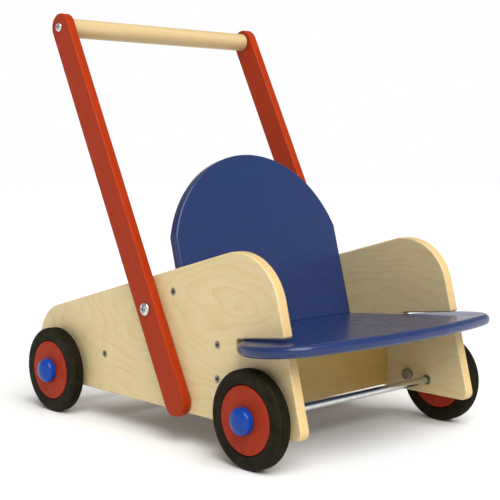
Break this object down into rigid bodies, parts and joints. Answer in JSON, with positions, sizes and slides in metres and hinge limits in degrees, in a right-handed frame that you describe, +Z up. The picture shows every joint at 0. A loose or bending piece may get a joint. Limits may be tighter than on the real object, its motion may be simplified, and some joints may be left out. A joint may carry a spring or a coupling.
{
  "type": "baby walker cart with seat",
  "caption": "Wooden baby walker and ride-on cart: tilted seat and round backrest between birch side boards, push rod on two arms, rubber-tyred wheels.",
  "frame": {"origin": "on the floor, under the middle of the walker's bounding box", "axes": "+Z up from the floor, +X across the walker to the right as seen from the front, -Y the way the seat opens, +Y towards the push rod"},
  "size_m": [0.3436, 0.4884, 0.4684],
  "materials": {
    "birch_ply": "clear lacquered birch plywood, rounded edges that show the plies",
    "red_lacquer": "opaque satin red lacquer on beech plywood",
    "blue_lacquer": "opaque satin blue lacquer on birch plywood",
    "beech": "turned beech, clear lacquer",
    "red_disc": "turned wheel disc, matt red paint",
    "tyre_rubber": "black solid rubber with ribs round the tread",
    "blue_cap": "glossy moulded blue plastic",
    "bright_steel": "bright zinc-plated steel",
    "dark_steel": "burnished knurled steel",
    "grey_nylon": "moulded grey nylon",
    "felt": "pressed wool felt"
  },
  "bodies": {
    "frame": {"side_board_left": "birch_ply", "side_board_right": "birch_ply", "seat_board": "blue_lacquer", "backrest_board": "blue_lacquer", "front_cross_board": "birch_ply", "rear_cross_board": "birch_ply", "push_arm_left": "red_lacquer", "push_arm_right": "red_lacquer", "handle_rod": "beech", "handle_screw_left": "bright_steel", "handle_screw_right": "bright_steel", "arm_bolt_left": "bright_steel", "arm_bolt_right": "bright_steel", "arm_nut_left": "bright_steel", "arm_nut_right": "bright_steel", "arm_screw_left": "bright_steel", "arm_screw_right": "bright_steel", "backrest_screw_left": "bright_steel", "backrest_screw_right": "bright_steel", "seat_screw_left": "bright_steel", "seat_screw_right": "bright_steel", "front_board_screw_left": "bright_steel", "front_board_screw_right": "bright_steel", "rear_board_screw_left": "bright_steel", "rear_board_screw_right": "bright_steel", "back_foot_screw_left": "bright_steel", "back_foot_screw_right": "bright_steel", "front_board_dowel_left": "beech", "front_board_dowel_right": "beech", "rear_board_dowel_left": "beech", "rear_board_dowel_right": "beech", "brake_insert_left": "bright_steel", "brake_insert_right": "bright_steel", "axle_bush_front_left": "grey_nylon", "axle_bush_front_right": "grey_nylon", "axle_bush_rear_left": "grey_nylon", "axle_bush_rear_right": "grey_nylon"},
    "front_axle_set": {"front_axle": "bright_steel", "wheel_spacer_front_left": "grey_nylon", "hub_cap_front_left": "blue_cap", "wheel_spacer_front_right": "grey_nylon", "hub_cap_front_right": "blue_cap"},
    "wheel_front_left": {"wheel_disc_front_left": "red_disc", "tyre_front_left": "tyre_rubber"},
    "wheel_front_right": {"wheel_disc_front_right": "red_disc", "tyre_front_right": "tyre_rubber"},
    "rear_axle_set": {"rear_axle": "bright_steel", "wheel_spacer_rear_left": "grey_nylon", "hub_cap_rear_left": "blue_cap", "wheel_spacer_rear_right": "grey_nylon", "hub_cap_rear_right": "blue_cap"},
    "wheel_rear_left": {"wheel_disc_rear_left": "red_disc", "tyre_rear_left": "tyre_rubber"},
    "wheel_rear_right": {"wheel_disc_rear_right": "red_disc", "tyre_rear_right": "tyre_rubber"},
    "brake_pad_left": {"brake_pad_left": "felt"},
    "brake_screw_left": {"brake_screw_left": "dark_steel"},
    "brake_pad_right": {"brake_pad_right": "felt"},
    "brake_screw_right": {"brake_screw_right": "dark_steel"}
  },
  "joints": [
    {"name": "front_axle_spin", "type": "hinge", "parent": "frame", "child": "front_axle_set", "pos_m": [0, -0.15183, 0.05], "axis": [1, 0, 0], "continuous": true},
    {"name": "wheel_spin_front_left", "type": "hinge", "parent": "front_axle_set", "child": "wheel_front_left", "pos_m": [-0.1506, -0.15183, 0.05], "axis": [1, 0, 0], "continuous": true},
    {"name": "wheel_spin_front_right", "type": "hinge", "parent": "front_axle_set", "child": "wheel_front_right", "pos_m": [0.1506, -0.15183, 0.05], "axis": [1, 0, 0], "continuous": true},
    {"name": "rear_axle_spin", "type": "hinge", "parent": "frame", "child": "rear_axle_set", "pos_m": [0, 0.19017, 0.05], "axis": [1, 0, 0], "continuous": true},
    {"name": "wheel_spin_rear_left", "type": "hinge", "parent": "rear_axle_set", "child": "wheel_rear_left", "pos_m": [-0.1506, 0.19017, 0.05], "axis": [1, 0, 0], "continuous": true},
    {"name": "wheel_spin_rear_right", "type": "hinge", "parent": "rear_axle_set", "child": "wheel_rear_right", "pos_m": [0.1506, 0.19017, 0.05], "axis": [1, 0, 0], "continuous": true},
    {"name": "brake_feed_left", "type": "slide", "parent": "frame", "child": "brake_pad_left", "axis": [-1, 0, 0], "range_m": [0, 0.0008]},
    {"name": "brake_turn_left", "type": "hinge", "parent": "brake_pad_left", "child": "brake_screw_left", "pos_m": [-0.125, -0.12593, 0.053], "axis": [-1, 0, 0], "range_deg": [0, 290]},
    {"name": "brake_feed_right", "type": "slide", "parent": "frame", "child": "brake_pad_right", "axis": [1, 0, 0], "range_m": [0, 0.0008]},
    {"name": "brake_turn_right", "type": "hinge", "parent": "brake_pad_right", "child": "brake_screw_right", "pos_m": [0.125, -0.12593, 0.053], "axis": [1, 0, 0], "range_deg": [0, 290]}
  ],
  "couplings": [
    {"joint": "brake_turn_left", "follows": "brake_feed_left", "rad_per_m": 6283.2},
    {"joint": "brake_turn_right", "follows": "brake_feed_right", "rad_per_m": 6283.2}
  ]
}
